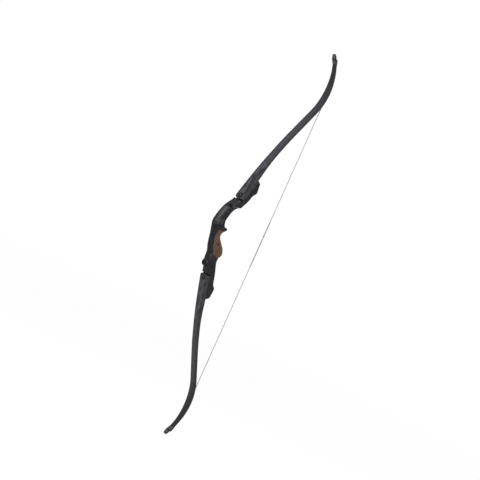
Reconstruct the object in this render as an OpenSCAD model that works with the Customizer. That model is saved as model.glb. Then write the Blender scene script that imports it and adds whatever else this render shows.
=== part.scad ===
// Takedown recurve bow for target practice, braced with its string and right-handed.
// X points to the target, Y to the archer's left and Z along the string to the upper limb.
// The origin is the throat of the grip, where the bow hand pushes, at the bow's mid-height.

/* [Riser] */
// Height of the limb pads' outer ends above and below the throat
pad_end_z = 225; // [218:1:232]
// Distance of the limb pads' outer ends behind the throat
pad_end_x = 46; // [42:1:50]
// Lean of the limb pads back from upright
pad_lean = 18.5; // [17:0.5:20]
// Length of a limb pad from its shoulder to the riser's end
pad_len = 93; // [88:1:98]
// Half of the riser's width at the limb pads
pad_half_w = 20.5; // [19.5:0.5:23]
// Half of the riser's width at the throat
throat_half_w = 13.5; // [12:0.5:15]
// Depth of the belly heel below a limb pad, at its deepest
heel_depth = 34; // [30:1:38]

/* [Sight window] */
// Height of the arrow shelf above the throat
shelf_z = 32; // [30:1:36]
// Height of the sight window's top above the throat
window_top_z = 114; // [108:1:118]
// How far the window is cut past the centre line
window_past = 3; // [2:0.5:5]
// Radius of the window's upper corner
window_r = 22; // [12:1:26]
// Radius of the corner along the shelf
shelf_r = 3; // [1:0.5:5]
// Thickness of the shelf and strike pads
pad_felt_t = 1.5; // [1:0.25:2.5]

/* [Grip] */
// Height of the wooden grip's top end above the throat
grip_top_z = 20; // [16:1:26]
// Depth of the wooden grip's bottom end below the throat
grip_bottom_z = 74; // [70:1:78]
// Thickness of the riser in front of the wood
grip_front_t = 11; // [8:0.5:13]
// Thickness of the riser's tang inside the wood
tang_t = 11; // [9:0.5:13]
// Wood behind the tang
grip_wall = 11; // [9:0.5:14]
// Clearance between the wood and the riser
grip_gap = 0.2; // [0.1:0.05:0.4]
// Height of the grip screws, below the throat
grip_screw_z = 31; // [24:1:38]
// Radius of a grip screw's head
grip_screw_head_r = 4; // [3.5:0.25:5]
// Radius of a grip screw's shank
grip_screw_r = 2; // [1.5:0.25:2.5]

/* [Stabilizer and sight] */
// Depth of the stabilizer bushing's axis below the throat
boss_z = 104; // [98:1:110]
// Front face of the stabilizer boss, ahead of the throat
boss_front_x = 16; // [13:0.5:18]
// Outer radius of the stabilizer boss
boss_r = 12; // [9:0.5:13]
// Outer radius of the stabilizer bushing
bushing_r = 6.5; // [5.5:0.25:7.5]
// Bore radius of the stabilizer bushing, for a 5/16 inch thread
bushing_bore_r = 3.45; // [3.2:0.05:4]
// Length of the stabilizer bushing
bushing_len = 24; // [18:1:26]
// Distance between the two sight inserts
sight_pitch = 33.3; // [28:0.1:36]
// Height of the lower sight insert above the throat
sight_z = 54; // [50:1:60]
// Outer radius of a sight insert
sight_insert_r = 4; // [3.5:0.25:5]
// Bore radius of a sight insert, for a number 10 thread
sight_bore_r = 2.05; // [1.8:0.05:2.5]
// Length of a sight insert
sight_insert_len = 9; // [7:0.5:11]

/* [Limbs] */
// Length of a limb from the pad's outer end to its tip, along the curve
limb_len = 540; // [530:1:546]
// Gap between a limb's butt end and the pad's shoulder
butt_gap = 4.5; // [3:0.5:6]
// Stiff stretch of a limb past the pad's outer end
stiff_len = 70; // [60:1:80]
// Lean of the limb's working part back from upright
mid_lean = 27; // [25.5:0.5:28.5]
// Where the lean reaches its full value, along the limb
mid_from = 214; // [200:1:230]
// Where the recurve starts, along the limb
recurve_from = 313; // [305:1:320]
// Radius of the recurve
recurve_r = 198; // [190:1:210]
// Lean of the tip forward from upright
tip_lean = 38; // [34:1:40]
// Thickness of each glass facing
glass_t = 1.1; // [0.8:0.1:1.5]
// Thickness of the wooden core at the butt
core_root_t = 5.8; // [5:0.1:7]
// Thickness of the wooden core at the tip
core_tip_t = 2.8; // [2.4:0.1:3.5]
// Thickness of the butt wedge on the pad
wedge_t = 3.2; // [2.5:0.1:4]
// Half of the limb's width at its butt
butt_half_w = 19.5; // [18:0.5:21]
// Half of the limb's width along its middle
mid_half_w = 15; // [12.5:0.5:16]
// Half of the limb's width at its tip
tip_half_w = 8; // [7:0.5:9]
// Distance of the string nock from the limb's tip
nock_back = 18; // [15:1:22]
// Length of the tip overlay
overlay_len = 44; // [38:1:60]
// Thickness of the tip overlay
overlay_t = 2.6; // [2:0.1:3.5]

/* [Limb fasteners] */
// Distance of a limb bolt from the limb's butt end
bolt_inset = 11.5; // [10:0.5:15]
// Radius of a limb bolt's shank
bolt_r = 4; // [3.5:0.25:4.5]
// Radius of a limb bolt's head
bolt_head_r = 7; // [6.5:0.25:8]
// Height of a limb bolt's head
bolt_head_h = 4.5; // [4:0.25:6]
// Radius of the washer under a limb bolt
washer_r = 9; // [8.5:0.25:10.5]
// Thickness of the washer
washer_t = 1.6; // [1.2:0.1:2.5]
// Outer radius of the threaded insert in the riser
insert_r = 6; // [5.5:0.25:7]
// Length of the threaded insert
insert_len = 14; // [12:0.5:15]
// Clearance round a bolt or pin in its hole
hole_gap = 0.2; // [0.1:0.05:0.4]
// Distance of an alignment pin from the pad's outer end
pin_back = 34; // [28:1:44]
// Radius of an alignment pin
pin_r = 3; // [2.5:0.25:3.5]
// Length of an alignment pin
pin_len = 14; // [11:0.5:15]

/* [String] */
// Radius of the bowstring
string_r = 1.4; // [1.1:0.1:1.6]
// Clearance between the string and what it lies on
string_gap = 0.15; // [0.1:0.05:0.3]
// Height of the nocking point above the throat
nocking_z = 40; // [38:1:46]
// Outer radius of the centre serving
serving_r = 1.9; // [1.7:0.1:2.3]
// Reach of the centre serving above the nocking point
serving_up = 62; // [50:1:80]
// Reach of the centre serving below the nocking point
serving_down = 110; // [90:1:130]
// Outer radius of the nocking point's wound ring
nock_ring_r = 3; // [2.7:0.1:3.6]
// Height of the nocking point's wound ring
nock_ring_h = 4; // [3:0.5:6]
// Length of the end loop on the belly side of a nock
loop_len = 42; // [34:1:50]

/* [Hidden] */
$fn = 48;

riser_black = [0.12, 0.12, 0.13];
limb_black = [0.2, 0.2, 0.22];
maple = [0.72, 0.56, 0.38];
walnut = [0.4, 0.24, 0.15];
felt_black = [0.07, 0.07, 0.07];
steel = [0.45, 0.45, 0.47];
brass = [0.72, 0.56, 0.28];
string_grey = [0.82, 0.82, 0.8];
serving_pale = [0.74, 0.74, 0.72];

far = 60; // a cut's reach past everything
past = 1; // a cut's reach past a face
ring_step = 6; // distance between two sections of the riser
section_points = 32; // points round a section
grip_step = 4; // distance between two sections of the wood
limb_step = 9; // distance between two sections of a limb

// A value between control points [place, value], in rising order of place, without overshoot
function slope(pts, i) = (pts[i + 1][1] - pts[i][1]) / (pts[i + 1][0] - pts[i][0]);
function tangent(pts, i) =
    i == 0 ? slope(pts, 0)
    : i == len(pts) - 1 ? slope(pts, i - 1)
    : slope(pts, i - 1) * slope(pts, i) <= 0 ? 0
    : 2 / (1 / slope(pts, i - 1) + 1 / slope(pts, i));
function segment(pts, at, i = 0) = i >= len(pts) - 2 || at < pts[i + 1][0] ? i : segment(pts, at, i + 1);
function hermite(t, a, b, ta, tb) =
    a * (1 + 2 * t) * pow(1 - t, 2) + ta * t * pow(1 - t, 2) + b * t * t * (3 - 2 * t) + tb * t * t * (t - 1);
function between(pts, at, i, span) =
    hermite((at - pts[i][0]) / span, pts[i][1], pts[i + 1][1], tangent(pts, i) * span, tangent(pts, i + 1) * span);
function curve(pts, at) =
    at <= pts[0][0] ? pts[0][1]
    : at >= pts[len(pts) - 1][0] ? pts[len(pts) - 1][1]
    : let (i = segment(pts, at)) between(pts, at, i, pts[i + 1][0] - pts[i][0]);

// Closed solid through rings that all have the same number of points
module skin(rings) {
    n = len(rings[0]);
    last = len(rings) - 1;
    polyhedron(
        points = [for (ring = rings) each ring],
        faces = concat(
            [for (r = [0:last - 1], i = [0:n - 1]) [r * n + i, r * n + (i + 1) % n, (r + 1) * n + i]],
            [for (r = [0:last - 1], i = [0:n - 1]) [r * n + (i + 1) % n, (r + 1) * n + (i + 1) % n, (r + 1) * n + i]],
            [for (i = [1:n - 2]) [0, i + 1, i]],
            [for (i = [1:n - 2]) [last * n, last * n + i, last * n + i + 1]]
        )
    );
}

// Side view of the riser, [height, distance ahead of the throat]
pad_mid_z = pad_end_z - 43; // height of the belly heel's corner
pad_mid_x = -pad_end_x + 43 * tan(pad_lean);
belly_line = [
    [-pad_end_z - 12, -pad_end_x - 12], [-pad_end_z + 5, -pad_end_x - 15.5],
    [-pad_mid_z, pad_mid_x - heel_depth], [-pad_mid_z + 14, pad_mid_x - heel_depth + 13],
    [-147, -45.5], [-126, -39], [-105, -32], [-90, -28.5], [-grip_bottom_z, -31], [-grip_bottom_z + 6, -39],
    [-58, -41.5], [-42, -34.5], [-21, -15], [0, 0], [10, -1], [17, -6], [25, -15], [29, -13],
    [shelf_z + 6, -7], [shelf_z + 14, -4.5], [54, -2.5], [63, -4.5], [84, -11], [105, -21.5], [126, -33], [147, -44.5],
    [pad_mid_z - 14, pad_mid_x - heel_depth + 13], [pad_mid_z, pad_mid_x - heel_depth],
    [pad_end_z - 12, -pad_end_x - 16], [pad_end_z + 12, -pad_end_x - 15]
];
back_line = [
    [-pad_end_z - 12, -34], [-150, -9], [-137, -8], [-122, -2.5], [-105, 6.5], [-94, 12], [-84, 14.5],
    [-63, 20], [-42, 29.5], [-21, 35.5], [0, 40.5], [21, 46], [42, 46.5], [63, 42], [84, 35], [102, 26.5],
    [114, 17], [121, 10.5], [130, 1.5], [138, -4], [150, -7], [pad_end_z + 12, -34]
];
half_width = [
    [-pad_end_z, pad_half_w - 1], [-150, pad_half_w], [-126, pad_half_w - 1.5], [-100, 17.5],
    [-grip_bottom_z, throat_half_w + 2.5], [-50, throat_half_w + 2], [-25, throat_half_w + 1],
    [0, throat_half_w], [22, throat_half_w + 3.5], [40, 20], [70, 20], [105, 19.5], [126, pad_half_w - 1],
    [150, pad_half_w], [pad_end_z, pad_half_w - 1]
];
squareness = [[-130, 8], [-90, 4.5], [-60, 3], [15, 3], [40, 5], [90, 5], [130, 8]];

// One section of the riser's outer form at height z, a rounded box seen from above
function power(a, e) = sign(a) * pow(abs(a), e);
function riser_section(z) =
    let (rear = curve(belly_line, z), front = curve(back_line, z), w = curve(half_width, z))
    let (e = 2 / curve(squareness, z), mid = (front + rear) / 2, depth = (front - rear) / 2)
    [for (i = [0:section_points - 1]) let (a = -360 * (i + 0.5) / section_points)
        [mid + depth * power(cos(a), e), w * power(sin(a), e), z]];
module riser_form(low, high, step) {
    count = ceil((high - low) / step);
    skin([for (i = [0:count]) riser_section(low + (high - low) * i / count)]);
}

butt_end = pad_len - butt_gap; // where the limb ends on its pad, from the pad's outer end
bolt_back = butt_end - bolt_inset;

end_tilt = 12; // lean of the riser's end faces from square to the pad
// Places a child on a limb pad: Z along the limb from the pad's outer end, X out of the pad
module at_pad() {
    translate([-pad_end_x, 0, pad_end_z]) rotate([0, -pad_lean, 0]) children();
}
module both_ends() {
    children();
    mirror([0, 0, 1]) children();
}

// Depth of the riser in front of the wood, greater round its lower end and where the beak grows out
seam_depth = [[-grip_bottom_z, grip_front_t + 13], [-grip_bottom_z + 3, grip_front_t + 6],
    [-grip_bottom_z + 9, grip_front_t + 2.5], [-grip_bottom_z + 20, grip_front_t + 0.5], [-40, grip_front_t],
    [-10, grip_front_t], [grip_top_z, grip_front_t + 8], [grip_top_z + 10, grip_front_t + 10]];
// Side view of what the wood takes up, with the front edge a distance ahead of its own line
seam_steps = 24;
function split_x(z) = curve(back_line, z) - curve(seam_depth, z);
module wood_region(gap, w) {
    low = -grip_bottom_z + gap;
    high = grip_top_z - gap;
    front = [for (i = [0:seam_steps]) let (z = low + (high - low) * i / seam_steps) [split_x(z) - gap, z]];
    rotate([90, 0, 0]) linear_extrude(w, center = true)
        polygon(concat(front, [[-far, high], [-far, low]]));
}
// The tang that the wood slides over, inset behind by the wood's wall
tang_line = [for (z = [-grip_bottom_z - 6, -grip_bottom_z + 4, -60, -42, -21, 0, 14, grip_top_z + 3])
    [min(curve(belly_line, z) + grip_wall, split_x(z) - 8), z]];
module tang(gap) {
    rotate([90, 0, 0]) linear_extrude(tang_t + 2 * gap, center = true)
        polygon(concat([for (p = tang_line) [p[0] - gap, p[1]]],
            [for (z = [grip_top_z + 3:-grip_step:-grip_bottom_z - 6]) [split_x(z) + past, z]]));
}
// Places on both sides of the wood, with Z into it from the top of a grip screw's head
grip_screw_sink = 0.6; // how far a head lies below the wood's side
grip_screw_cap = 2.4; // height of a head
grip_screw_key = 1.7; // depth of a head's hexagon socket
grip_screw_shank = throat_half_w - 1.5;
grip_screw_y = curve(half_width, -grip_screw_z) - grip_screw_sink;
module grip_screw_places() {
    for (side = [-1, 1]) translate([0, side * grip_screw_y, -grip_screw_z])
        rotate([side * 90, 0, 0]) children();
}

// Sight window, seen from behind and cut through along X
module window_cut() {
    face = -window_past;
    rotate([90, 0, 90]) linear_extrude(4 * far, center = true) polygon(concat(
        [for (a = [180:22.5:270]) [face + shelf_r + shelf_r * cos(a), shelf_z + shelf_r + shelf_r * sin(a)]],
        [[far, shelf_z], [far, window_top_z]],
        [for (a = [90:11.25:180])
            [face + window_r + window_r * cos(a), window_top_z - window_r + window_r * sin(a)]]));
}

riser_end_z = pad_end_z + 11; // height of the riser's form before its ends are cut
boss_len = bushing_len + 4;
boss_flare = 5; // how much wider the boss is at its root
bolt_bore_past = 8; // bore past the end of a bolt's threaded insert
module riser() {
    color(riser_black) difference() {
        union() {
            difference() {
                riser_form(-riser_end_z, riser_end_z, ring_step);
                wood_region(0, 2 * far);
            }
            intersection() {
                tang(0);
                translate([-far, -far, -grip_bottom_z - 4]) cube([3 * far, 2 * far, grip_bottom_z + grip_top_z + 6]);
            }
            translate([boss_front_x - boss_len, 0, -boss_z]) rotate([0, 90, 0])
                cylinder(r1 = boss_r + boss_flare, r2 = boss_r, h = boss_len);
        }
        window_cut();
        both_ends() at_pad() {
            translate([0, -far, -pad_len]) cube([far, 2 * far, pad_len + far]);
            rotate([0, -end_tilt, 0]) translate([-far, -far, 0]) cube([2 * far, 2 * far, far]);
            translate([-insert_len, 0, -bolt_back]) rotate([0, 90, 0]) cylinder(r = insert_r, h = insert_len + past);
            translate([-insert_len - bolt_bore_past, 0, -bolt_back]) rotate([0, 90, 0])
                cylinder(r = bolt_r + hole_gap, h = insert_len + bolt_bore_past);
            translate([-pin_len / 2, 0, -pin_back]) rotate([0, 90, 0]) cylinder(r = pin_r, h = pin_len);
        }
        translate([boss_front_x - bushing_len, 0, -boss_z]) rotate([0, 90, 0])
            cylinder(r = bushing_r, h = bushing_len + past);
        sight_places() cylinder(r = sight_insert_r, h = 2 * sight_insert_len, center = true);
        grip_screw_places() cylinder(r = grip_screw_r, h = grip_screw_y + tang_t / 2 + past);
    }
}

module grip() {
    color(walnut) difference() {
        intersection() {
            riser_form(-grip_bottom_z - grip_step, grip_top_z + grip_step, grip_step);
            wood_region(grip_gap, 2 * far);
        }
        tang(grip_gap);
        grip_screw_places() {
            cylinder(r = grip_screw_r + hole_gap, h = grip_screw_y);
            translate([0, 0, -far]) cylinder(r = grip_screw_head_r + hole_gap, h = far + grip_screw_cap + hole_gap / 2);
        }
    }
}

// Two cap screws hold the wood to the tang, one from each side
module grip_screws() {
    color(steel) grip_screw_places() difference() {
        union() {
            cylinder(r = grip_screw_head_r, h = grip_screw_cap);
            cylinder(r = grip_screw_r, h = grip_screw_shank);
        }
        translate([0, 0, -past]) cylinder(r = 0.75 * grip_screw_r, h = past + grip_screw_key, $fn = 6);
    }
}

// Felt on the whole shelf and on the window face, where the arrow lies
shelf_rear_x = 2;
shelf_inset = 1.2; // how far the felt stays inside the shelf's outline
strike_rear_x = 6;
strike_pad_w = 26;
strike_pad_h = 22;
module shelf_pad() {
    color(felt_black) translate([0, 0, shelf_z]) linear_extrude(pad_felt_t) intersection() {
        offset(delta = -shelf_inset) polygon([for (p = riser_section(shelf_z)) [p[0], p[1]]]);
        translate([shelf_rear_x, shelf_r - window_past]) square(far);
    }
}
module strike_pad() {
    color(felt_black) translate([strike_rear_x, -window_past, shelf_z + shelf_r])
        cube([strike_pad_w, pad_felt_t, strike_pad_h]);
}

bushing_floor = 3; // left below the thread
module stabilizer_bushing() {
    color(steel) translate([boss_front_x - bushing_len, 0, -boss_z]) rotate([0, 90, 0]) difference() {
        cylinder(r = bushing_r, h = bushing_len);
        translate([0, 0, bushing_floor]) cylinder(r = bushing_bore_r, h = bushing_len);
    }
}

// Inserts on the right side of the riser, opposite the window
sight_x = 14;
sight_face_y = curve(half_width, sight_z + sight_pitch);
module sight_places() {
    for (i = [0, 1]) translate([sight_x, -sight_face_y, sight_z + i * sight_pitch]) rotate([-90, 0, 0]) children();
}
module sight_inserts() {
    color(brass) sight_places() difference() {
        cylinder(r = sight_insert_r, h = sight_insert_len);
        translate([0, 0, -past]) cylinder(r = sight_bore_r, h = sight_insert_len);
    }
}

// Lean of a limb's centre line back from upright, at a distance past the pad's outer end
bend_from = 9;
recurve_end = recurve_from + recurve_r * (mid_lean + tip_lean) * PI / 180;
function lean(s) =
    s <= bend_from ? pad_lean
    : s <= mid_from ? pad_lean + (mid_lean - pad_lean) * (s - bend_from) / (mid_from - bend_from)
    : s <= recurve_from ? mid_lean
    : s <= recurve_end ? mid_lean - (s - recurve_from) / recurve_r * 180 / PI
    : -tip_lean;

// The centre line as points [distance, x, z], walked in steps of one section
function walk(s, x, z, to, step) =
    s >= to - 0.001 ? [[s, x, z]]
    : let (d = min(step, to - s), a = lean(s + d / 2))
    concat([[s, x, z]], walk(s + d, x - d * sin(a), z + d * cos(a), to, step));
stack_root_t = core_root_t + 2 * glass_t;
butt_t = wedge_t + stack_root_t;
line_rise = wedge_t + stack_root_t / 2; // height of the centre line above the pad
start_x = -pad_end_x + line_rise * cos(pad_lean);
start_z = pad_end_z + line_rise * sin(pad_lean);
butt_round = [0, 1, 3, 6.5]; // sections along the butt's rounded corners
butt_path = [
    for (d = butt_round)
        [d - butt_end, start_x + (butt_end - d) * sin(pad_lean), start_z - (butt_end - d) * cos(pad_lean)],
    each walk(0, start_x, start_z, stiff_len, stiff_len / 8)
];
split = butt_path[len(butt_path) - 1];
seam = 0.1; // between the stiff stretch and the working part
work_start = walk(stiff_len, split[1], split[2], stiff_len + seam, seam)[1];
work_len = limb_len - work_start[0];
limb_path = walk(work_start[0], work_start[1], work_start[2], limb_len, work_len / ceil(work_len / limb_step));
function limb_at(s) = let (path = walk(stiff_len, split[1], split[2], s, limb_step)) path[len(path) - 1];

// Half of the limb's width and the thickness of its core, along the limb
limb_half_w = [
    [-butt_end, butt_half_w - 6], [1 - butt_end, butt_half_w - 3.5], [3 - butt_end, butt_half_w - 1.5],
    [6.5 - butt_end, butt_half_w], [0, butt_half_w - 1.2], [60, mid_half_w + 1.8], [120, mid_half_w + 0.3],
    [370, mid_half_w - 0.5], [430, mid_half_w - 2.6], [480, tip_half_w + 1.6], [limb_len - 10, tip_half_w],
    [limb_len - 3, tip_half_w - 1.5], [limb_len, tip_half_w - 4]
];
function core_t(s) = core_root_t + (core_tip_t - core_root_t) * max(0, s) / limb_len;
function stack_t(s) = core_t(s) + 2 * glass_t;

// A point of the limb's cross-section: y across, h above the centre line towards the target
function limb_point(p, y, h) = [p[1] + h * cos(lean(p[0])), y, p[2] + h * sin(lean(p[0]))];
// A cross-section between two heights, with broken edges where the facing is on the outside
edge = 0.5;
function strip_ring(p, low, high, low_edge, high_edge) = let (w = curve(limb_half_w, p[0])) concat(
    low_edge > 0 ? [limb_point(p, -w, low + low_edge), limb_point(p, low_edge - w, low),
        limb_point(p, w - low_edge, low), limb_point(p, w, low + low_edge)]
    : [limb_point(p, -w, low), limb_point(p, w, low)],
    high_edge > 0 ? [limb_point(p, w, high - high_edge), limb_point(p, w - high_edge, high),
        limb_point(p, high_edge - w, high), limb_point(p, -w, high - high_edge)]
    : [limb_point(p, w, high), limb_point(p, -w, high)]
);
module strip(path, low, high, low_edge = 0, high_edge = 0) {
    skin([for (p = path) strip_ring(p, low(p[0]), high(p[0]), low_edge, high_edge)]);
}

// Bolt and pin holes through a limb's butt
module butt_holes() {
    at_pad() {
        translate([-past, 0, -bolt_back]) rotate([0, 90, 0]) cylinder(r = bolt_r + hole_gap, h = 2 * butt_t);
        translate([-past, 0, -pin_back]) rotate([0, 90, 0])
            cylinder(r = pin_r + hole_gap, h = pin_len / 2 + past + hole_gap);
    }
}
// Grooves on both edges of the tip, where the string's loop lies
groove_r = 5;
groove_depth = 2.1;
nock = limb_at(limb_len - nock_back);
nock_half_w = curve(limb_half_w, nock[0]) - groove_depth;
module nock_grooves() {
    for (side = [-1, 1]) translate([nock[1], side * (nock_half_w + groove_r), nock[2]])
        rotate([0, -lean(nock[0]), 0]) rotate([0, 90, 0]) cylinder(r = groove_r, h = far, center = true);
}

// The stiff glued stretch on the pad: core and facings in one
module limb_butt() {
    color(limb_black) difference() {
        strip(butt_path, function(s) -stack_t(s) / 2, function(s) stack_t(s) / 2, 0, edge);
        butt_holes();
    }
}
// Wedge glued below the butt, which feathers out past the riser
feather_t = 0.4; // thickness of a feathered end
function wedge_height(s) =
    s <= 0 ? wedge_t : feather_t + (wedge_t - feather_t) * (1 + cos(180 * s / stiff_len)) / 2;
module limb_wedge() {
    color(maple) difference() {
        strip(butt_path, function(s) -stack_t(s) / 2 - wedge_height(s), function(s) -stack_t(s) / 2, 0, 0);
        butt_holes();
    }
}
module limb_core() {
    color(maple) difference() {
        strip(limb_path, function(s) -core_t(s) / 2, function(s) core_t(s) / 2);
        nock_grooves();
    }
}
module back_glass() {
    color(limb_black) difference() {
        strip(limb_path, function(s) core_t(s) / 2, function(s) stack_t(s) / 2, 0, edge);
        nock_grooves();
    }
}
module belly_glass() {
    color(limb_black) difference() {
        strip(limb_path, function(s) -stack_t(s) / 2, function(s) -core_t(s) / 2, edge, 0);
        nock_grooves();
    }
}
// Hard overlay on the back of the tip, ramped up from the limb, on the limb's own sections
overlay_from = limb_len - overlay_len;
overlay_path = [for (p = limb_path) if (p[0] > overlay_from) p];
overlay_ramp = overlay_len - nock_back - 8; // length of the ramp, which ends ahead of the grooves
function overlay_height(s) =
    feather_t + (overlay_t - feather_t) * min(1, (s - overlay_from) / overlay_ramp);
module tip_overlay() {
    color(felt_black) difference() {
        strip(overlay_path, function(s) stack_t(s) / 2, function(s) stack_t(s) / 2 + overlay_height(s), 0, edge / 2);
        nock_grooves();
    }
}

// Button-head bolt that draws the limb onto its pad, with a washer and a threaded insert
bolt_rim = 0.8; // height of the head's upright rim
bolt_crown = 0.55; // share of the head's radius that is rounded
bolt_key = 2.8; // depth of the head's hexagon socket
bolt_end = 1; // how far the shank stops short of the insert's end
module limb_bolt() {
    color(steel) at_pad() translate([butt_t + washer_t, 0, -bolt_back]) rotate([0, 90, 0]) difference() {
        union() {
            rotate_extrude() polygon(concat([[0, 0], [bolt_head_r, 0], [bolt_head_r, bolt_rim]],
                [for (a = [0:15:75]) [bolt_head_r * (1 - bolt_crown + bolt_crown * cos(a)),
                    bolt_rim + (bolt_head_h - bolt_rim) * sin(a)]], [[0, bolt_head_h]]));
            translate([0, 0, bolt_end - butt_t - washer_t - insert_len])
                cylinder(r = bolt_r, h = butt_t + washer_t + insert_len);
        }
        translate([0, 0, bolt_head_h - bolt_key]) cylinder(r = 0.72 * bolt_r, h = bolt_key + past, $fn = 6);
    }
}
module bolt_washer() {
    color(steel) at_pad() translate([butt_t, 0, -bolt_back]) rotate([0, 90, 0]) difference() {
        cylinder(r = washer_r, h = washer_t);
        translate([0, 0, -past]) cylinder(r = bolt_r + hole_gap, h = washer_t + 2 * past);
    }
}
module bolt_insert() {
    color(brass) at_pad() translate([-insert_len, 0, -bolt_back]) rotate([0, 90, 0]) difference() {
        cylinder(r = insert_r, h = insert_len - 1.5 * hole_gap);
        translate([0, 0, -past]) cylinder(r = bolt_r + hole_gap / 2, h = insert_len + 2 * past);
    }
}
module alignment_pin() {
    color(steel) at_pad() translate([-pin_len / 2, 0, -pin_back]) rotate([0, 90, 0]) cylinder(r = pin_r, h = pin_len);
}

// Round tube along points, each ring square to the path, for an open path or a closed loop
string_sides = 8;
function unit(v) = v / norm(v);
function path_way(path, i, closed) = let (n = len(path)) unit(
    closed ? path[(i + 1) % n] - path[(i + n - 1) % n] : path[min(i + 1, n - 1)] - path[max(i - 1, 0)]);
function tube_ring(at, way, side, r) = let (up = unit(cross(way, side)), out = cross(up, way))
    [for (k = [0:string_sides - 1]) at + r * (cos(360 * k / string_sides) * out - sin(360 * k / string_sides) * up)];

// The string starts at the loop, lies along the belly and is straight from where the recurve stands upright
lift = string_r + string_gap;
string_from = nock[0] - loop_len - string_r - 2 * string_gap;
upright_s = recurve_from + recurve_r * mid_lean * PI / 180;
upright = limb_at(upright_s);
string_x = upright[1] - stack_t(upright_s) / 2 - lift;
string_turns = 12;
string_clear = 15; // height over which the string leaves the limb
wrap_points = [for (i = [0:string_turns])
    let (s = string_from + (upright_s - string_from) * i / string_turns, p = limb_at(s))
    limb_point(p, 0, -stack_t(s) / 2 - lift)];
module string_half(meet_z) {
    path = concat(wrap_points, [[string_x, 0, upright[2] - string_clear], [string_x, 0, meet_z]]);
    color(string_grey) skin([for (i = [0:len(path) - 1])
        tube_ring(path[i], path_way(path, i, false), [0, 1, 0], string_r)]);
}
// End loop: two strands part on the belly, lie in the grooves and meet over the overlay
loop_angles = [0, 20, 40, 55, 66, 75, 82, 87, 93, 98, 110, 130, 155,
    180, 205, 230, 250, 262, 267, 273, 278, 285, 294, 305, 320, 340];
loop_half_w = nock_half_w + string_r + 0.5;
turn = 0.14; // cosine of the angle over which a strand turns round the edge
function loop_point(a) =
    let (s = nock[0] - (cos(a) > 0 ? loop_len * pow(cos(a), 1.6) : 0), p = limb_at(s))
    let (belly = stack_t(s) / 2 + lift, back = stack_t(s) / 2 + overlay_t + lift)
    limb_point(p, loop_half_w * max(-1, min(1, sin(a) / sin(75))),
        cos(a) > 0 ? -belly * min(1, cos(a) / turn) : back * min(1, -cos(a) / turn));
module string_loop() {
    path = [for (a = loop_angles) loop_point(a)];
    n = len(path);
    rings = [for (i = [0:n - 1]) tube_ring(path[i], path_way(path, i, true), limb_normal(path, i), string_r)];
    color(serving_pale) closed_skin(rings);
}
// Direction in the plane of a ring that never lines up with the strand
function limb_normal(path, i) = let (c = [nock[1], 0, nock[2]]) unit(path[i] - c + [0.01, 0, 0]);
module closed_skin(rings) {
    n = len(rings[0]);
    m = len(rings);
    polyhedron(
        points = [for (ring = rings) each ring],
        faces = [for (r = [0:m - 1], i = [0:n - 1]) each [
            [r * n + i, r * n + (i + 1) % n, (r + 1) % m * n + i],
            [r * n + (i + 1) % n, (r + 1) % m * n + (i + 1) % n, (r + 1) % m * n + i]]]
    );
}

meet_gap = 0.3; // half of the gap where the two halves of the string meet
wound_fit = 0.02; // clearance under a wound thread
nock_ring_up = 4; // height of the ring's lower face above the nocking point
module serving(low, high) {
    color(serving_pale) translate([string_x, 0, low]) difference() {
        cylinder(r = serving_r, h = high - low);
        translate([0, 0, -past]) cylinder(r = string_r + wound_fit, h = high - low + 2 * past);
    }
}
module nocking_point() {
    color(serving_pale) translate([string_x, 0, nocking_z + nock_ring_up]) difference() {
        cylinder(r = nock_ring_r, h = nock_ring_h);
        translate([0, 0, -past]) cylinder(r = serving_r + wound_fit, h = nock_ring_h + 2 * past);
    }
}

module lower() {
    mirror([0, 0, 1]) children();
}
riser();
grip();
grip_screws();
shelf_pad();
strike_pad();
stabilizer_bushing();
sight_inserts();
limb_butt();  // upper_limb_butt
limb_wedge();  // upper_limb_wedge
limb_core();  // upper_limb_core
back_glass();  // upper_back_glass
belly_glass();  // upper_belly_glass
tip_overlay();  // upper_tip_overlay
limb_bolt();  // upper_limb_bolt
bolt_washer();  // upper_bolt_washer
bolt_insert();  // upper_bolt_insert
alignment_pin();  // upper_alignment_pin
lower() limb_butt();  // lower_limb_butt
lower() limb_wedge();  // lower_limb_wedge
lower() limb_core();  // lower_limb_core
lower() back_glass();  // lower_back_glass
lower() belly_glass();  // lower_belly_glass
lower() tip_overlay();  // lower_tip_overlay
lower() limb_bolt();  // lower_limb_bolt
lower() bolt_washer();  // lower_bolt_washer
lower() bolt_insert();  // lower_bolt_insert
lower() alignment_pin();  // lower_alignment_pin
string_half(nocking_z + meet_gap);  // upper_string
string_loop();  // upper_string_loop
serving(nocking_z + meet_gap, nocking_z + serving_up);  // upper_serving
lower() string_half(meet_gap - nocking_z);  // lower_string
lower() string_loop();  // lower_string_loop
serving(nocking_z - serving_down, nocking_z - meet_gap);  // lower_serving
nocking_point();
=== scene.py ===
from math import asin, atan2, cos, degrees, pi, radians, sin

import bpy
from mathutils import Matrix, Vector


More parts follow.
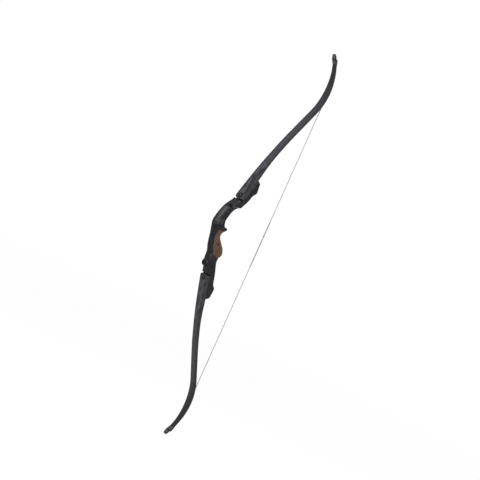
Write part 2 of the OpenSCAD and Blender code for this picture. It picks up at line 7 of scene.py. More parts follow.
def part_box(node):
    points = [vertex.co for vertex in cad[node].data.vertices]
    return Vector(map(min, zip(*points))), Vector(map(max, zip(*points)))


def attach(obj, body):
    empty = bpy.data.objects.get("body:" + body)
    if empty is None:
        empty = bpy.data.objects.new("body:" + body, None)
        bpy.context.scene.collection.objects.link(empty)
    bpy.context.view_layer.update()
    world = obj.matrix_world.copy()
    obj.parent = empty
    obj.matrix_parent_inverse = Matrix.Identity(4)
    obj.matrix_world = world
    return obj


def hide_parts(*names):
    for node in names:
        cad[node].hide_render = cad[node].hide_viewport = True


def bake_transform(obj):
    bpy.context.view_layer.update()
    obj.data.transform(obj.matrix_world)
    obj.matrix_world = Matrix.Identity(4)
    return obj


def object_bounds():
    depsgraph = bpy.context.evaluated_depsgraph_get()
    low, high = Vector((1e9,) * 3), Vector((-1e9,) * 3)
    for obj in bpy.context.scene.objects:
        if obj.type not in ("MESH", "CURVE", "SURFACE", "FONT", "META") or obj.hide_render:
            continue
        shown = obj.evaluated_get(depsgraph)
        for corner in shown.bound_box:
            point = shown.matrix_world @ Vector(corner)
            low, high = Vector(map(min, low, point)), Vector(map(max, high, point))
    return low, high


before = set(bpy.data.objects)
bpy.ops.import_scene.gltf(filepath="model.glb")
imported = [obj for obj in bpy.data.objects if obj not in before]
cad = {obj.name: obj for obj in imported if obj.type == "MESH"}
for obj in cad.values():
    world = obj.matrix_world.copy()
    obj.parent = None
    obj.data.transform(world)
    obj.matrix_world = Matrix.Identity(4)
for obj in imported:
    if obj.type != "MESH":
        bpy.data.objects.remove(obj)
cad_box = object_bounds()

# Camera, lamps and floor
# The bow is seen from the target's side and a little to the archer's left, leaning to the right in
# the picture, over a pale floor and under three large soft lamps. The room is white where it is seen
# or mirrored, and gives only a dim light of its own.
azimuth, elevation, lean_in_picture = 42.5, 5.5, 24.13
picture_size = 480
metres_per_pixel = 0.00344
throat_pixel = (219.47, 235.29)
camera_distance = 7.8

turn = (Matrix.Rotation(radians(180 - azimuth), 4, "Z") @ Matrix.Rotation(radians(90 - elevation), 4, "X")
        @ Matrix.Rotation(radians(lean_in_picture), 4, "Z"))
picture_right, picture_up, towards_camera = (turn.to_3x3().col[i] for i in range(3))
aim = (picture_right * (picture_size / 2 - throat_pixel[0])
       - picture_up * (picture_size / 2 - throat_pixel[1])) * metres_per_pixel
bpy.ops.object.camera_add()
camera = bpy.context.object
camera.matrix_world = Matrix.Translation(aim + towards_camera * camera_distance) @ turn
camera.data.lens = camera.data.sensor_width * camera_distance / (picture_size * metres_per_pixel)
camera.data.clip_end = 60
scene = bpy.context.scene
scene.camera = camera
scene.view_settings.view_transform = "Standard"


def soft_lamp(name, place, size, power):
    """A rectangular lamp that faces the bow's throat."""
    bpy.ops.object.light_add(type="AREA", location=place)
    lamp = bpy.context.object
    lamp.name = name
    lamp.data.shape = "RECTANGLE"
    lamp.data.size, lamp.data.size_y = size
    lamp.data.energy = power
    lamp.rotation_euler = Vector(place).to_track_quat("Z", "Y").to_euler()


soft_lamp("lamp_above", place=(1.9, 0.85, 2.55), size=(2.6, 2.6), power=148)
soft_lamp("lamp_target_side", place=(3.8, -0.9, 1.0), size=(1.4, 2.4), power=32)
soft_lamp("lamp_archer_side", place=(0.75, 3.55, 1.05), size=(2.9, 2.0), power=225)


class Nodes:
    """The nodes of one shader tree, which are added and joined by short calls."""

    def __init__(self, tree):
        self.tree = tree
        tree.nodes.clear()

    def add(self, kind, feeds=None, **settings):
        node = self.tree.nodes.new("ShaderNode" + kind)
        for key, value in settings.items():
            setattr(node, key, value)
        for socket, source in (feeds or {}).items():
            target = node.inputs[socket]
            if isinstance(source, bpy.types.NodeSocket):
                self.tree.links.new(source, target)
            else:
                target.default_value = source
        return node

    def math(self, operation, first, second=0.0):
        return self.add("Math", {0: first, 1: second}, operation=operation).outputs[0]

    def mix(self, share, under, over, way="MIX"):
        """Two colours mixed by a share of the second, or multiplied."""
        return self.add("Mix", {0: share, 6: under, 7: over}, data_type="RGBA", blend_type=way).outputs[2]

    def ramp(self, factor, *stops):
        """A colour or a plain number that follows the factor through its stops [position, colour]."""
        node = self.add("ValToRGB", {"Fac": factor})
        elements = node.color_ramp.elements
        while len(elements) < len(stops):
            elements.new(0.5)
        for element, (position, colour) in zip(elements, stops):
            element.position = position
            element.color = (*colour, 1) if isinstance(colour, tuple) else (colour, colour, colour, 1)
        return node.outputs["Color"]

    def bump(self, height, strength, depth):
        return self.add("Bump", {"Height": height, "Strength": strength, "Distance": depth}).outputs["Normal"]


class Finish(Nodes):
    """A material with its nodes."""

    def __init__(self, name):
        self.material = bpy.data.materials.new(name)
        self.material.use_nodes = True
        super().__init__(self.material.node_tree)

    def surface(self, **sockets):
        shader = self.add("BsdfPrincipled", {key.replace("_", " "): value for key, value in sockets.items()})
        self.add("OutputMaterial", {"Surface": shader.outputs[0]})

    def put_on(self, *pieces):
        for piece in pieces:
            piece = cad[piece] if isinstance(piece, str) else piece
            if piece.data.materials:
                for i in range(len(piece.data.materials)):
                    piece.data.materials[i] = self.material
            else:
                piece.data.materials.append(self.material)


# The floor lies just below the bow. Seen straight on or mirrored it shows nearly its own white,
# mixed with the lamps' soft light and shadow close to the bow
floor_size, floor_gap = 400, 0.002
bpy.ops.mesh.primitive_plane_add(size=floor_size, location=(0, 0, cad_box[0][2] - floor_gap))
floor = bpy.context.object
floor.name = "floor"
paper = Finish("pale_paper")
lit = paper.add("BsdfDiffuse", {"Color": (0.9, 0.9, 0.9, 1)})
glow = paper.add("Emission", {"Color": (1, 1, 1, 1), "Strength": 1.0})
ray = paper.add("LightPath").outputs
seen = paper.math("MAXIMUM", ray["Is Camera Ray"], ray["Is Glossy Ray"])
away = paper.add("VectorMath", {0: paper.add("TexCoord").outputs["Object"]}, operation="LENGTH")
fade = paper.ramp(paper.math("MULTIPLY", away.outputs["Value"], 0.2), (0.2, 0.93), (0.7, 1.0))
glowing = paper.math("MULTIPLY", seen, fade)
mixed = paper.add("MixShader", {0: glowing, 1: lit.outputs[0], 2: glow.outputs[0]})
paper.add("OutputMaterial", {"Surface": mixed.outputs[0]})
paper.put_on(floor)

world = bpy.data.worlds.new("white_room")
scene.world = world
world.use_nodes = True
air = Nodes(world.node_tree)
ray = air.add("LightPath").outputs
mirrored = air.math("MAXIMUM", ray["Is Camera Ray"], ray["Is Glossy Ray"])
direct = air.math("MAXIMUM", mirrored, ray["Is Transmission Ray"])
dim_room = air.add("Background", {"Color": (1, 1, 1, 1), "Strength": 0.2})
white_walls = air.add("Background", {"Color": (1, 1, 1, 1), "Strength": 1.0})
room = air.add("MixShader", {0: direct, 1: dim_room.outputs[0], 2: white_walls.outputs[0]})
air.add("OutputWorld", {"Surface": room.outputs[0]})

# Riser
# The handle is cast and machined from light alloy, with its edges broken and the window's front
# edge rounded wide, and finished in a dark satin coating that is a little uneven in colour.

# Mottle: cloudy patches and fine grain on object coordinates, stretched along the bow
mottle = bpy.data.node_groups.new("mottle", "ShaderNodeTree")
for label, usual in (("Patch Scale", 40.0), ("Grain Scale", 900.0), ("Stretch", 1.0)):
    mottle.interface.new_socket(label, in_out="INPUT", socket_type="NodeSocketFloat").default_value = usual
for label in ("Patches", "Grain"):
    mottle.interface.new_socket(label, in_out="OUTPUT", socket_type="NodeSocketFloat")
cloud = Nodes(mottle)
given = mottle.nodes.new("NodeGroupInput").outputs
result = mottle.nodes.new("NodeGroupOutput").inputs
squeeze = cloud.add("CombineXYZ", {0: 1, 1: 1, 2: given["Stretch"]})
squeezed = cloud.add("VectorMath", {0: cloud.add("TexCoord").outputs["Object"], 1: squeeze.outputs[0]},
                     operation="MULTIPLY")
for label, scale, detail in (("Patches", "Patch Scale", 4), ("Grain", "Grain Scale", 2)):
    noise = cloud.add("TexNoise", {"Vector": squeezed.outputs[0], "Scale": given[scale], "Detail": detail})
    mottle.links.new(noise.outputs["Fac"], result[label])


def mottled(finish, patch_scale, grain_scale, stretch=1.0):
    """The patches and the grain for a finish, at their scales for this material."""
    feeds = {"Patch Scale": patch_scale, "Grain Scale": grain_scale, "Stretch": stretch}
    node = finish.add("Group", feeds, node_tree=mottle)
    return node.outputs["Patches"], node.outputs["Grain"]


def hard_finish(name, scales, colours, gloss, relief, **sockets):
    """A finish for metal and hard plate, with patches in its colour and a fine grain in its gloss and
    relief. The scales are those of patches and grain, and gloss is the roughness of low and high grain."""
    finish = Finish(name)
    patch, fine = mottled(finish, *scales)
    finish.surface(Base_Color=finish.ramp(patch, (0.3, colours[0]), (0.7, colours[1])),
                   Roughness=finish.ramp(fine, (0.3, gloss[0]), (0.7, gloss[1])),
                   Normal=finish.bump(fine, relief, 0.0001), **sockets)
    return finish


def select_only(piece):
    bpy.ops.object.select_all(action="DESELECT")
    bpy.context.view_layer.objects.active = piece
    piece.select_set(True)


def cut(piece, cutter):
    """Takes the cutter's form out of the piece, and removes the cutter."""
    select_only(piece)
    removed = piece.modifiers.new("cut", "BOOLEAN")
    removed.object = cutter
    bpy.ops.object.modifier_apply(modifier="cut")
    bpy.data.objects.remove(cutter)


def smooth_copy(name, node, voxel, rounds, cutter=None):
    """A merged copy of a node's mesh, rebuilt in even faces and smoothed, which breaks its edges softly."""
    piece = bpy.data.objects.new(name, cad[node].data.copy())
    scene.collection.objects.link(piece)
    select_only(piece)
    bpy.ops.object.mode_set(mode="EDIT")
    bpy.ops.mesh.select_all(action="SELECT")
    bpy.ops.mesh.remove_doubles(threshold=0.00001)
    bpy.ops.object.mode_set(mode="OBJECT")
    if cutter:
        cut(piece, cutter)
    rebuilt = piece.modifiers.new("even_faces", "REMESH")
    rebuilt.mode = "VOXEL"
    rebuilt.voxel_size = voxel
    softened = piece.modifiers.new("soft_edges", "SMOOTH")
    softened.iterations = rounds
    softened.factor = 0.5
    for modifier in ("even_faces", "soft_edges"):
        bpy.ops.object.modifier_apply(modifier=modifier)
    bpy.ops.object.shade_smooth()
    piece.data.materials.clear()
    return piece


# The rounding of the window's front edge: an arc whose ends are led out past the riser, as a hollow
# corner that is drawn up along the riser's front [height, front] and runs out at its upper end
round_r, round_back, round_side = 0.032, 0.0267, -0.0346
arc_from, arc_to = 33, 83
out_forward, out_beside, out_behind = 0.02, 0.035, 0.015
shelf_z, shelf_front = 0.032, 0.0462
front_line = ((0.042, 0.0465), (0.052, 0.0445), (0.063, 0.042), (0.074, 0.0388), (0.084, 0.035),
              (0.094, 0.0312), (0.102, 0.0275), (0.108, 0.0275), (0.114, 0.034))
run_out_z, run_out = 0.11, 0.006

bpy.ops.object.select_all(action="DESELECT")
bpy.ops.mesh.primitive_circle_add(vertices=96, radius=round_r,
                                  location=(shelf_front - round_back, round_side, shelf_z))
corner = bpy.context.object
corner.name = "window_rounding"
bpy.ops.object.mode_set(mode="EDIT")
bpy.ops.mesh.select_mode(type="VERT")
bpy.ops.mesh.select_all(action="DESELECT")
bpy.ops.object.mode_set(mode="OBJECT")
for point in corner.data.vertices:
    point.select = not arc_from < degrees(atan2(point.co.y, point.co.x)) < arc_to
bpy.ops.object.mode_set(mode="EDIT")
bpy.ops.mesh.delete(type="VERT")
for arc_end, moves in ((0, ((out_forward, 0, 0), (0, out_beside, 0))), (-1, ((0, out_behind, 0),))):
    bpy.ops.mesh.select_all(action="DESELECT")
    bpy.ops.object.mode_set(mode="OBJECT")
    on_arc = [point for point in corner.data.vertices if point.co.length < 1.01 * round_r]
    sorted(on_arc, key=lambda point: point.co.y)[arc_end].select = True
    bpy.ops.object.mode_set(mode="EDIT")
    for move in moves:
        bpy.ops.mesh.extrude_vertices_move(TRANSFORM_OT_translate={"value": move})
bpy.ops.mesh.select_all(action="SELECT")
bpy.ops.mesh.edge_face_add()
here = (shelf_z, shelf_front)
for there in front_line:
    step = (there[1] - here[1], run_out if there[0] > run_out_z else 0, there[0] - here[0])
    bpy.ops.mesh.extrude_region_move(TRANSFORM_OT_translate={"value": step})
    here = there
bpy.ops.mesh.select_all(action="SELECT")
bpy.ops.mesh.normals_make_consistent(inside=False)
bpy.ops.object.mode_set(mode="OBJECT")

coating = hard_finish("satin_coating", scales=(26, 1400),
                      colours=((0.004, 0.004, 0.005), (0.009, 0.009, 0.011)), gloss=(0.27, 0.36),
                      relief=0.06, Specular_IOR_Level=0.11)
riser = smooth_copy("riser_body", "riser", voxel=0.001, rounds=10, cutter=corner)
coating.put_on(riser)
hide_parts("riser")
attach(riser, "handle")

# Grip
# The wooden grip is shaped walnut, oiled and rubbed smooth, and darker at its lower end. It slides
# over the riser's tang and is held by a cap screw from each side.
grip_foot_z = -0.07
walnut = Finish("oiled_walnut")
patch, fine = mottled(walnut, patch_scale=45, grain_scale=700, stretch=0.08)
where = walnut.add("TexCoord").outputs["Object"]
grown = walnut.add("Mapping", {"Vector": where, "Rotation": (0.1, -0.32, 0.2), "Scale": (1, 1, 0.07)})
rings = walnut.add("TexWave", {"Vector": grown.outputs[0], "Scale": 75.0, "Distortion": 9.0, "Detail": 3.0,
                               "Detail Scale": 1.6, "Detail Roughness": 0.6}, bands_direction="X")
ring_colours = walnut.ramp(rings.outputs["Fac"], (0.0, (0.027, 0.0135, 0.0078)),
                           (0.5, (0.043, 0.0235, 0.014)), (1.0, (0.06, 0.0355, 0.023)))
height = walnut.add("SeparateXYZ", {0: where}).outputs["Z"]
upwards = walnut.add("MapRange", {"Value": height, "From Min": grip_foot_z, "From Max": 0.0}).outputs[0]
oiled = walnut.ramp(upwards, (0.0, (0.88, 0.74, 0.62)), (1.0, (1.0, 1.0, 1.0)))
pores = walnut.ramp(fine, (0.36, 0.62), (0.46, 1.0))
shade = walnut.mix(1.0, walnut.mix(1.0, ring_colours, pores, "MULTIPLY"), oiled, "MULTIPLY")
walnut.surface(Base_Color=shade, Roughness=walnut.ramp(patch, (0.3, 0.3), (0.7, 0.42)),
               Specular_IOR_Level=0.2, Coat_Weight=0.06, Coat_Roughness=0.2,
               Normal=walnut.bump(pores, 0.15, 0.0002))
grip = smooth_copy("grip_wood", "grip", voxel=0.0008, rounds=5)
walnut.put_on(grip)
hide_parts("grip")
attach(grip, "handle")

# Fasteners
# Bolts, washers, pins, the stabilizer bushing and the cap screws are steel with a black oxide
# finish. The threaded inserts are brass, dulled by handling.


def both(*names):
    """The upper and the lower limb's node of each name."""
    return [side + "_" + name for side in ("upper", "lower") for name in names]


oxide = hard_finish("black_oxide_steel", scales=(120, 2200),
                    colours=((0.016, 0.016, 0.018), (0.034, 0.034, 0.037)), gloss=(0.28, 0.42),
                    relief=0.1, Metallic=1.0)
oxide.put_on("grip_screws", "stabilizer_bushing", *both("limb_bolt", "bolt_washer", "alignment_pin"))
brass = hard_finish("dulled_brass", scales=(160, 1800), colours=((0.36, 0.25, 0.1), (0.62, 0.46, 0.2)),
                    gloss=(0.3, 0.45), relief=0.1, Metallic=1.0)
brass.put_on("sight_inserts", *both("bolt_insert"))

# Rest pads
# Black felt pads are glued on the arrow shelf and on the window's face, where the arrow lies. The
# one on the window is painted lighter than the shelf's, as painted highlight that matches the
# window's sheen; it is cut with round corners and follows the face round its front edge.


def grained(name, scale, colours, relief, depth, stretch=1.0, **sockets):
    """A finish for felt, wood seen on edge and thread: its colour and relief follow one fine grain."""
    finish = Finish(name)
    fine = mottled(finish, scale, scale, stretch)[1]
    finish.surface(Base_Color=finish.ramp(fine, (0.3, colours[0]), (0.7, colours[1])),
                   Normal=finish.bump(fine, relief, depth), **sockets)
    return finish


felt = grained("black_felt", scale=2600, colours=((0.002, 0.002, 0.002), (0.009, 0.009, 0.009)),
               relief=0.9, depth=0.0006, Roughness=0.95, Specular_IOR_Level=0.03)
felt.put_on("shelf_pad")

round_corner, rim, start_off_face = 0.004, 0.0004, 0.01
pad_low, pad_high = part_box("strike_pad")
half_x, half_z = (pad_high[0] - pad_low[0]) / 2, (pad_high[2] - pad_low[2]) / 2
pad_place = ((pad_low[0] + pad_high[0]) / 2, start_off_face, (pad_low[2] + pad_high[2]) / 2)
bpy.ops.object.select_all(action="DESELECT")
bpy.ops.mesh.primitive_grid_add(x_subdivisions=26, y_subdivisions=22, size=1, rotation=(pi / 2, 0, 0),
                                location=pad_place)
pad = bpy.context.object
pad.name = "strike_felt"
for point in pad.data.vertices:
    x, z = point.co.x * 2 * half_x, point.co.y * 2 * half_z
    beyond = Vector((max(0, abs(x) - half_x + round_corner), max(0, abs(z) - half_z + round_corner)))
    if beyond.length > round_corner:
        x -= (1 - round_corner / beyond.length) * beyond.x * (1 if x > 0 else -1)
        z -= (1 - round_corner / beyond.length) * beyond.y * (1 if z > 0 else -1)
    point.co = (x, z, 0)
bpy.ops.object.transform_apply()
laid = pad.modifiers.new("laid_on", "SHRINKWRAP")
laid.wrap_method, laid.target = "PROJECT", riser
laid.use_project_y, laid.use_positive_direction, laid.use_negative_direction = True, False, True
thick = pad.modifiers.new("thickness", "SOLIDIFY")
thick.thickness, thick.offset = pad_high[1] - pad_low[1], -1
soft = pad.modifiers.new("soft_rim", "BEVEL")
soft.width, soft.segments = rim, 2
for modifier in ("laid_on", "thickness", "soft_rim"):
    bpy.ops.object.modifier_apply(modifier=modifier)
bpy.ops.object.shade_smooth_by_angle(angle=radians(40))
# Painted highlight: this felt's colour is lighter than the shelf's felt, to match the sheen on the window's
# face
felt_with_painted_highlight = grained("felt_painted_lighter", scale=2600, colours=((0.009, 0.009, 0.0095), (0.022, 0.022, 0.023)),
                      relief=0.3, depth=0.0003, Roughness=0.5, Specular_IOR_Level=0.13)
felt_with_painted_highlight.put_on(pad)
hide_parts("strike_pad")
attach(pad, "handle")

# Limbs
# Each limb is a strip of laminated maple between dark glass facings, bent on a form: stiff on its
# pad, leaning back along the middle and curling forward to the tip. A thin wedge lies below the butt.
# Places along it are measured from the pad's end, and leans are in degrees.
pad_end = (-0.046, 0.225)
pad_lean, mid_lean, tip_lean = 18.5, 27, 38
bend_from, mid_from, recurve_from, recurve_r, limb_len = 0.009, 0.214, 0.313, 0.198, 0.54
recurve_end = recurve_from + recurve_r * radians(mid_lean + tip_lean)
butt_end, stiff_len = 0.0885, 0.07
glass, wedge_height, feather_edge = 0.0011, 0.0032, 0.0004
core_root, core_tip = 0.0058, 0.0028
half_width = ((-butt_end, 0.0135), (0.001 - butt_end, 0.016), (0.003 - butt_end, 0.018),
              (0.0065 - butt_end, 0.0195), (0, 0.0183), (0.06, 0.0168), (0.12, 0.0153), (0.37, 0.0145),
              (0.43, 0.0124), (0.48, 0.0096), (0.53, 0.008), (0.537, 0.0065), (0.54, 0.004))
nock = limb_len - 0.018
groove_r, groove_depth = 0.005, 0.0021


def lean(s):
    if s <= bend_from:
        return pad_lean
    if s <= mid_from:
        return pad_lean + (mid_lean - pad_lean) * (s - bend_from) / (mid_from - bend_from)
    if s <= recurve_from:
        return mid_lean
    return mid_lean - (s - recurve_from) / recurve_r * 180 / pi if s <= recurve_end else -tip_lean


# The limb's centre line, walked from the pad's end in short steps
short_step = 0.0005
rise = wedge_height + core_root / 2 + glass
root = Vector((pad_end[0] + rise * cos(radians(pad_lean)), 0, pad_end[1] + rise * sin(radians(pad_lean))))
centres = [root]
for i in range(round(limb_len / short_step)):
    a = radians(lean(short_step * (i + 0.5)))
    centres.append(centres[-1] + short_step * Vector((-sin(a), 0, cos(a))))


def centre(s):
    a = radians(pad_lean)
    if s < 0:
        return root + s * Vector((-sin(a), 0, cos(a)))
    i = min(int(s / short_step), len(centres) - 2)
    return centres[i].lerp(centres[i + 1], s / short_step - i)


def outward(s):
    return Vector((cos(radians(lean(s))), 0, sin(radians(lean(s)))))


def between(points, at):
    """A value between points [place, value], smooth and without overshoot."""
    def slope(i):
        return (points[i + 1][1] - points[i][1]) / (points[i + 1][0] - points[i][0])

    def tangent(i):
        if i in (0, len(points) - 1):
            return slope(0 if i == 0 else i - 1)
        low, high = slope(i - 1), slope(i)
        return 0 if low * high <= 0 else 2 / (1 / low + 1 / high)

    i = max(0, min(len(points) - 2, sum(at >= p[0] for p in points) - 1))
    span = points[i + 1][0] - points[i][0]
    t = max(0, min(1, (at - points[i][0]) / span))
    return (points[i][1] * (1 + 2 * t) * (1 - t) ** 2 + tangent(i) * span * t * (1 - t) ** 2
            + points[i + 1][1] * t * t * (3 - 2 * t) + tangent(i + 1) * span * t * t * (t - 1))


def width(s):
    """Half the limb's width, less what the tip's groove takes."""
    past = abs(s - nock)
    filed = (groove_r ** 2 - past ** 2) ** 0.5 - (groove_r - groove_depth) if past < groove_r else 0
    return between(half_width, s) - max(0, filed)


def thickness(s):
    return core_root + (core_tip - core_root) * max(0, s) / limb_len + 2 * glass


def feather(s):
    """The wedge's height, which thins out towards the end of the stiff part."""
    if s <= 0:
        return wedge_height
    return feather_edge + (wedge_height - feather_edge) * (1 + cos(pi * s / stiff_len)) / 2


def strip(name, stations, low, high, layers, finishes):
    """A laminated strip, extruded section by section along the limb from its end section. Each layer
    is a share of the thickness and the number of its finish."""
    s = stations[0]
    tall = high(s) - low(s)
    bpy.ops.object.select_all(action="DESELECT")
    bpy.ops.mesh.primitive_grid_add(x_subdivisions=len(layers), y_subdivisions=2, size=1)
    piece = bpy.context.object
    piece.name = name
    for finish in finishes:
        piece.data.materials.append(finish.material)
    cuts = [sum(share for share, _ in layers[:i]) for i in range(len(layers) + 1)]
    for vertex in piece.data.vertices:
        share = cuts[round((vertex.co.x + 0.5) * len(layers))]
        aside = Vector((0, 2 * vertex.co.y * width(s), 0))
        vertex.co = centre(s) + outward(s) * (low(s) + tall * share) + aside
    for face in piece.data.polygons:
        up = (face.center - centre(s)).dot(outward(s)) - low(s)
        face.material_index = layers[sum(up > share * tall for share in cuts[1:-1])][1]
    bpy.ops.object.mode_set(mode="EDIT")
    bpy.ops.mesh.select_all(action="SELECT")
    for before, after in zip(stations, stations[1:]):
        middles = [centre(s) + outward(s) * (low(s) + high(s)) / 2 for s in (before, after)]
        bpy.ops.mesh.extrude_region_move(TRANSFORM_OT_translate={"value": middles[1] - middles[0]})
        bpy.ops.transform.rotate(value=radians(lean(after) - lean(before)), orient_axis="Y",
                                 center_override=middles[1])
        taller = (high(after) - low(after)) / (high(before) - low(before))
        out = outward(after)
        onward = Vector((-out.z, 0, out.x))
        bpy.ops.transform.resize(value=(taller, width(after) / width(before), 1), orient_type="GLOBAL",
                                 orient_matrix=(out, (0, 1, 0), onward), orient_matrix_type="GLOBAL",
                                 center_override=middles[1])
    bpy.ops.mesh.select_all(action="SELECT")
    bpy.ops.mesh.normals_make_consistent(inside=False)
    bpy.ops.mesh.select_all(action="DESELECT")
    bpy.ops.mesh.edges_select_sharp(sharpness=radians(50))
    bpy.ops.mesh.bevel(offset=0.0004, segments=2, affect="EDGES")
    bpy.ops.object.mode_set(mode="OBJECT")
    bpy.ops.object.shade_smooth_by_angle(angle=radians(35))
    return piece


def lower_copy(piece, name):
    """The same piece mirrored below the grip. The mirror turns its faces in, so they are flipped back."""
    select_only(piece)
    bpy.ops.object.duplicate()
    copy = bpy.context.object
    copy.name = name
    copy.scale = (1, 1, -1)
    bpy.ops.object.transform_apply(location=False, rotation=False, scale=True)
    bpy.ops.object.mode_set(mode="EDIT")
    bpy.ops.mesh.select_all(action="SELECT")
    bpy.ops.mesh.flip_normals()
    bpy.ops.object.mode_set(mode="OBJECT")
    return copy


# The facing: fine fibres along the limb, blots on the butt, painted shade that darkens it towards the tips,
# and darker towards the edges
facing = Finish("dark_glass_facing")
patch, fine = mottled(facing, patch_scale=70, grain_scale=1500, stretch=0.35)
where = facing.add("TexCoord").outputs["Object"]
spot = facing.add("SeparateXYZ", {0: where}).outputs
drawn_out = facing.add("Mapping", {"Vector": where, "Scale": (1, 1, 0.012)}).outputs[0]
fibres = facing.add("TexNoise", {"Vector": drawn_out, "Scale": 1300.0, "Detail": 2.0})
body = facing.ramp(fibres.outputs["Fac"], (0.35, (0.022, 0.0215, 0.026)), (0.65, (0.036, 0.0355, 0.042)))
from_throat = facing.math("ABSOLUTE", spot["Z"])
# Painted shade: the colour darkens towards both tips, in place of the light that falls off on the curl
tip_shade_share = facing.ramp(from_throat, (0.42, 0.0), (0.66, 0.85))
painted_tip_shade = facing.mix(tip_shade_share, body, (0.009, 0.009, 0.0108, 1))
blot = facing.mix(facing.ramp(patch, (0.44, 0.0), (0.56, 1.0)), (0.012, 0.012, 0.0145, 1),
                  (0.05, 0.049, 0.058, 1))
on_butt = facing.ramp(from_throat, (0.24, 0.75), (0.36, 0.0))
blotted = facing.mix(on_butt, painted_tip_shade, blot)
across = facing.math("MULTIPLY", facing.math("ABSOLUTE", spot["Y"]), 50.0)
shaded = facing.mix(1.0, blotted, facing.ramp(across, (0.25, 1.0), (0.72, 0.55)), "MULTIPLY")
facing.surface(Base_Color=shaded, Roughness=facing.ramp(fine, (0.3, 0.3), (0.7, 0.4)),
               Specular_IOR_Level=0.1, Normal=facing.bump(fine, 0.04, 0.0001))
laminate = grained("stained_laminate", scale=700, stretch=0.1,
                   colours=((0.01, 0.0088, 0.0085), (0.022, 0.0195, 0.0185)),
                   relief=0.15, depth=0.0002, Roughness=0.42, Specular_IOR_Level=0.13)
veneer = grained("dark_veneer", scale=700, stretch=0.1,
                 colours=((0.005, 0.0048, 0.005), (0.01, 0.0095, 0.0095)),
                 relief=0.15, depth=0.0002, Roughness=0.42, Specular_IOR_Level=0.13)

# The sections lie close where the outline turns, at the butt's round end and at the tip with its
# groove. Between them they come every 6 mm along the limb and every 7 mm along the wedge
from_end = (0, 0.0005, 0.001, 0.002, 0.003, 0.0045, 0.0065, 0.02, 0.04, 0.06, 0.075)
from_tip_mm = (24, 23, 22.5, 22, 21, 20, 19, 18, 17, 16, 15, 14, 13.5, 13, 11, 8, 5.5, 3, 2, 1, 0)
butt_stations = [d - butt_end for d in from_end] + [0]
tip_stations = [limb_len - d / 1000 for d in from_tip_mm]
limb_stations = butt_stations + [0.006 * i for i in range(1, 86)] + tip_stations
wedge_stations = butt_stations + [0.007 * i for i in range(1, 11)]
limb_layers = ((0.14, 0), (0.24, 1), (0.03, 2), (0.18, 1), (0.03, 2), (0.24, 1), (0.14, 0))
wedge_layers = ((0.5, 0), (0.5, 0))
upper_limb = strip("upper_limb", limb_stations, lambda s: -thickness(s) / 2, lambda s: thickness(s) / 2,
                   limb_layers, (facing, laminate, veneer))
upper_wedge = strip("upper_wedge", wedge_stations, lambda s: -thickness(s) / 2 - feather(s),
                    lambda s: -thickness(s) / 2, wedge_layers, (laminate,))
lower_limb, lower_wedge = lower_copy(upper_limb, "lower_limb"), lower_copy(upper_wedge, "lower_wedge")
for side, limb, wedge, sign in (("upper", upper_limb, upper_wedge, 1),
                                ("lower", lower_limb, lower_wedge, -1)):
    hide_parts(*(f"{side}_{node}" for node in ("limb_butt", "limb_core", "back_glass", "belly_glass")))
    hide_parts(side + "_limb_wedge")
    for piece in (limb, wedge):
        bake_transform(piece)

# Tip plates
# A hard black plate is glued on the back of each tip, filed to a round end and with a groove on
# both edges, where the string's loop lies.
plate = hard_finish("black_tip_plate", scales=(120, 1600),
                    colours=((0.014, 0.014, 0.015), (0.028, 0.028, 0.03)), gloss=(0.22, 0.36),
                    relief=0.08, Specular_IOR_Level=0.3)
for side in ("upper", "lower"):
    tip = smooth_copy(side + "_tip_plate", side + "_tip_overlay", voxel=0.0004, rounds=8)
    plate.put_on(tip)
    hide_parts(side + "_tip_overlay")
    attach(tip, side + "_limb")

# Bowstring
# The string is laid up from grey waxed strands with a light twist, in two halves that meet at the
# nocking point. Fine thread is wound tightly round it there, and dark thread round both end loops.
string_r, clear = 0.0014, 0.00015
lift = string_r + clear
loop_len = 0.042
string_start = nock - loop_len - string_r - 2 * clear
upright = recurve_from + recurve_r * radians(mid_lean)
nocking_z, half_gap, serving_up, serving_down = 0.04, 0.0003, 0.062, 0.11
ring_low, ring_high = 0.0045, 0.0075
upper_swing, lower_swing = 53.15, 49.41


def on_belly(s):
    return centre(s) - outward(s) * (thickness(s) / 2 + lift)


def evenly(points, step):
    """Points at even distances along a line through the given points."""
    reach = [0]
    for before, after in zip(points, points[1:]):
        reach.append(reach[-1] + (after - before).length)
    count = round(reach[-1] / step)
    out, k = [], 0
    for i in range(count + 1):
        at = reach[-1] * i / count
        while k < len(points) - 2 and reach[k + 1] < at:
            k += 1
        out.append(points[k].lerp(points[k + 1], (at - reach[k]) / (reach[k + 1] - reach[k])))
    return out


def lay(name, points, count, thread_r, ring_r, pitch):
    """Threads that wind round a path at an even pitch, made as curves with a round section."""
    curve = bpy.data.curves.new(name, "CURVE")
    curve.dimensions = "3D"
    curve.bevel_depth = thread_r
    curve.bevel_resolution = 1
    curve.use_fill_caps = True
    for n in range(count):
        run, wound = 0, []
        for i, point in enumerate(points):
            ahead, behind = points[min(i + 1, len(points) - 1)], points[max(i - 1, 0)]
            way = (ahead - behind).normalized()
            aside = way.cross(Vector((0, 1, 0)) if abs(way.y) < 0.9 else Vector((1, 0, 0))).normalized()
            angle = 2 * pi * (run / pitch + n / count)
            wound.append(point + ring_r * (aside * cos(angle) + way.cross(aside) * sin(angle)))
            run += (ahead - point).length
        spline = curve.splines.new("POLY")
        spline.points.add(len(wound) - 1)
        spline.points.foreach_set("co", [v for p in wound for v in (*p, 1)])
    piece = bpy.data.objects.new(name, curve)
    scene.collection.objects.link(piece)
    select_only(piece)
    bpy.ops.object.convert(target="MESH")
    bpy.ops.object.shade_smooth()
    return bpy.context.object


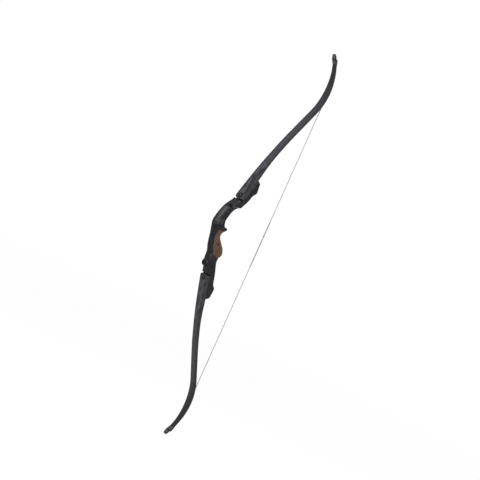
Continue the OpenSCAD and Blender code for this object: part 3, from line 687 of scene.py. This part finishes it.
yarn = grained("waxed_yarn", scale=3000, colours=((0.13, 0.13, 0.13), (0.19, 0.19, 0.19)),
               relief=0.3, depth=0.0002, Roughness=0.6)
thread = grained("serving_thread", scale=3200, colours=((0.11, 0.11, 0.11), (0.17, 0.17, 0.17)),
                 relief=0.3, depth=0.0002, Roughness=0.7)
dark_thread = grained("dark_serving_thread", scale=3200,
                      colours=((0.006, 0.006, 0.006), (0.016, 0.016, 0.016)),
                      relief=0.3, depth=0.0002, Roughness=0.6, Specular_IOR_Level=0.15)

# An end loop parts on the belly, lies in the grooves on both edges and meets over the tip's plate
nock_half_w = between(half_width, nock) - groove_depth
loop_half_w = nock_half_w + string_r + 0.0005
plate_t, edge_turn, widest_at, closing = 0.0026, 0.14, 75, 1.6


def loop_point(a):
    """The loop's point at an angle: 0 where it parts on the belly, a right angle in the groove, pi on
    the back."""
    s = nock - (loop_len * cos(a) ** closing if cos(a) > 0 else 0)
    belly, back = thickness(s) / 2 + lift, thickness(s) / 2 + plate_t + lift
    height = -belly * min(1, cos(a) / edge_turn) if cos(a) > 0 else back * min(1, -cos(a) / edge_turn)
    aside = max(-1, min(1, sin(a) / sin(radians(widest_at))))
    return centre(s) + outward(s) * height + Vector((0, loop_half_w * aside, 0))


def string_up(piece, side, node, stretch=None):
    """Puts a piece of string on its half with its finish, and hides the node it stands for. A piece
    without a stretch is attached to its limb; one with a stretch [top, bottom, end of the half, swing]
    is left in place, and the stretch's values are not used."""
    if side == "lower":
        name, upright_piece = piece.name, piece
        upright_piece.name = name + "_upright"
        piece = lower_copy(upright_piece, name)
        bpy.data.objects.remove(upright_piece)
    finish = {"string": yarn, "serving": thread, "string_loop": dark_thread}[node]
    finish.put_on(piece)
    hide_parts(f"{side}_{node}")
    if stretch is None:
        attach(piece, side + "_limb")
        return
    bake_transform(piece)


# Each half follows the limb's curl from its loop until it hangs upright, and then runs straight. It is
# laid in five stretches, which end at these heights
past_loop, curl_steps = 0.0015, 24
curled = [on_belly(string_start + past_loop + (upright - string_start) * i / curl_steps)
          for i in range(curl_steps + 1)]
string_x, upright_z = curled[-1].x, curled[-1].z
stretch_ends = (upright_z, 0.55, 0.46, 0.3)
loop_legs = [loop_point(radians(a)) for a in range(-90, 91, 2)]
loop_back = [loop_point(radians(a)) for a in range(90, 271, 2)]
for side, meet, far, swing in (("upper", nocking_z + half_gap, nocking_z + serving_up, upper_swing),
                               ("lower", half_gap - nocking_z, serving_down - nocking_z, lower_swing)):
    half_end = Vector((string_x, 0, meet))
    path = evenly(curled + [half_end], step=0.003)
    cuts = [0, *(next(i for i, at in enumerate(path) if at.z < z) for z in stretch_ends), len(path) - 1]
    for n, (i, k) in enumerate(zip(cuts, cuts[1:])):
        strands = lay(f"{side}_strands_{n + 1}", path[i:k + 1], count=10, thread_r=0.00037,
                      ring_r=0.00101, pitch=0.03)
        string_up(strands, side, "string", (path[i], path[k], half_end, swing))
    served = evenly([Vector((string_x, 0, z)) for z in (meet, far)], step=0.00007)
    wound = lay(side + "_serving_thread", served, count=1, thread_r=0.00026, ring_r=0.00164, pitch=0.0006)
    string_up(wound, side, "serving", (path[cuts[-2]], half_end, half_end, swing))
    for part, points, stretch in (("legs", loop_legs, (path[0], centre(nock), half_end, swing)),
                                  ("back", loop_back, None)):
        strands = lay(f"{side}_loop_{part}_strands", evenly(points, step=0.0012), count=3,
                      thread_r=0.00055, ring_r=0.00052, pitch=0.022)
        string_up(strands, side, "string_loop", stretch)
        wound = lay(f"{side}_loop_{part}_thread", evenly(points, step=0.00008), count=1,
                    thread_r=0.00024, ring_r=0.00115, pitch=0.00062)
        string_up(wound, side, "string_loop", stretch)
ringed = evenly([Vector((string_x, 0, nocking_z + z)) for z in (ring_low, ring_high)], step=0.00008)
ring = lay("nocking_ring", ringed, count=1, thread_r=0.00052, ring_r=0.00244, pitch=0.00105)
thread.put_on(ring)
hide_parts("nocking_point")
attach(ring, "upper_bowstring")
